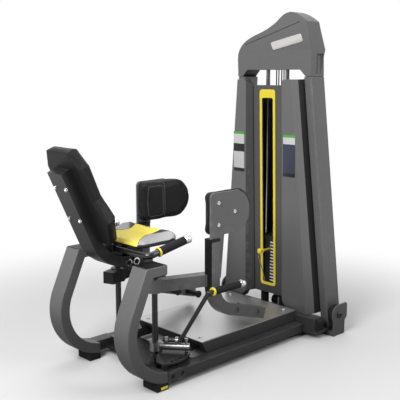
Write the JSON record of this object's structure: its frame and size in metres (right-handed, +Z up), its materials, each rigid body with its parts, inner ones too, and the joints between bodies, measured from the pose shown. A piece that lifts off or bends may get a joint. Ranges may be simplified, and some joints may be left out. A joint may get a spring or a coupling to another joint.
{
  "type": "seated outer thigh machine",
  "caption": "Selectorised seated outer thigh gym machine: padded seat, two swing arms with thigh cushions and foot pegs, start lever, cable-driven weight stack in a tall tower.",
  "frame": {"origin": "on the floor, under the middle of the machine's bounding box", "axes": "+X from the seat to the weight tower, +Y to the sitter's left, +Z up"},
  "size_m": [1.3702, 0.7522, 1.498],
  "materials": {
    "frame_grey": "satin powder coat",
    "frame_dark": "satin powder coat",
    "shell_grey": "fine matt moulding",
    "dark_plastic": "matt",
    "pad_black": "matt vinyl cover",
    "rubber_black": "matt",
    "chrome": "polished",
    "steel": "brushed",
    "tread_metal": "satin",
    "stack_iron": "black paint",
    "trim_yellow": "satin",
    "cable_black": "smooth sheath",
    "strap_tan": "woven"
  },
  "bodies": {
    "frame": {"legs": "frame_grey", "leg_feet": "rubber_black", "splices": "frame_grey", "splice_bolts": "frame_dark", "base_beams": "frame_grey", "base_plate": "frame_dark", "index_plate": "frame_dark", "platform_box": "frame_dark", "platform_top": "tread_metal", "chrome_bolts": "chrome", "cross_head": "frame_dark", "seat_frame": "frame_dark", "frame_collars": "chrome", "back_pad": "pad_black", "seat_pad": "pad_black", "seat_mount": "frame_dark", "handlebar": "frame_dark", "handle_grips": "rubber_black", "handle_ends": "chrome", "posts": "frame_grey", "tower_cap": "shell_grey", "blank_plates": "dark_plastic", "side_panels": "shell_grey", "slot_panel": "dark_plastic", "slot_frame": "trim_yellow", "rear_panel": "dark_plastic", "guide_rods": "chrome", "tower_base": "frame_grey", "beam_ends": "rubber_black", "tower_feet": "frame_grey", "wheel_bolts": "frame_dark", "stack_rest": "stack_iron", "stack_buffers": "rubber_black", "pulley_brackets": "steel", "drive_cables": "cable_black"},
    "right_arm": {"arm_right": "frame_grey", "shaft_right": "frame_dark", "pad_disc_right": "frame_grey", "thigh_pad_right": "pad_black", "pad_bolts_right": "chrome", "latch_arm": "chrome"},
    "left_arm": {"arm_left": "frame_grey", "shaft_left": "frame_dark", "pad_disc_left": "frame_grey", "thigh_pad_left": "pad_black", "pad_bolts_left": "chrome"},
    "carriage": {"head_plate": "stack_iron", "selector_stem": "steel", "stack_lifted": "stack_iron", "lift_cables": "cable_black"},
    "pin": {"selector_pin": "trim_yellow", "pin_tether": "strap_tan"},
    "lever": {"lever_tube": "frame_dark", "lever_grip": "rubber_black", "lever_end": "chrome"},
    "latch": {"latch_pin": "steel"},
    "upper_pulley": {"top_pulley": "dark_plastic"},
    "lower_pulley": {"low_pulley": "dark_plastic"},
    "right_wheel": {"wheel_right": "rubber_black"},
    "left_wheel": {"wheel_left": "rubber_black"}
  },
  "joints": [
    {"name": "right_arm_swing", "type": "hinge", "parent": "frame", "child": "right_arm", "pos_m": [-0.30789, -0.12, 0.379], "axis": [0, 0, -1], "range_deg": [0, 50]},
    {"name": "left_arm_swing", "type": "hinge", "parent": "frame", "child": "left_arm", "pos_m": [-0.30789, 0.12, 0.379], "axis": [0, 0, 1], "range_deg": [0, 50]},
    {"name": "stack_lift", "type": "slide", "parent": "frame", "child": "carriage", "axis": [0, 0, 1], "range_m": [0, 0.07], "deforming": ["lift_cables"]},
    {"name": "pin_draw", "type": "slide", "parent": "carriage", "child": "pin", "axis": [-1, 0, 0], "range_m": [0, 0.08]},
    {"name": "start_lever", "type": "hinge", "parent": "right_arm", "child": "lever", "pos_m": [-0.30789, -0.12, 0.15], "axis": [0.6428, -0.766, 0], "range_deg": [0, 12]},
    {"name": "latch_drop", "type": "slide", "parent": "right_arm", "child": "latch", "axis": [0, 0, -1], "range_m": [0, 0.012]},
    {"name": "upper_pulley_turn", "type": "hinge", "parent": "frame", "child": "upper_pulley", "pos_m": [0.59611, 0, 1.29], "axis": [0, 1, 0], "range_deg": [0, 212]},
    {"name": "lower_pulley_turn", "type": "hinge", "parent": "frame", "child": "lower_pulley", "pos_m": [0.59611, 0, 0.1], "axis": [0, 1, 0], "range_deg": [0, 212]},
    {"name": "right_wheel_turn", "type": "hinge", "parent": "frame", "child": "right_wheel", "pos_m": [0.61911, -0.346, 0.101], "axis": [0, 1, 0], "continuous": true},
    {"name": "left_wheel_turn", "type": "hinge", "parent": "frame", "child": "left_wheel", "pos_m": [0.61911, 0.346, 0.101], "axis": [0, 1, 0], "continuous": true}
  ],
  "couplings": [
    {"joint": "left_arm_swing", "follows": "right_arm_swing", "ratio": 1},
    {"joint": "stack_lift", "follows": "right_arm_swing", "m_per_rad": 0.08},
    {"joint": "upper_pulley_turn", "follows": "right_arm_swing", "ratio": 4.2105},
    {"joint": "lower_pulley_turn", "follows": "right_arm_swing", "ratio": 4.2105},
    {"joint": "latch_drop", "follows": "start_lever", "m_per_rad": 0.057296}
  ]
}
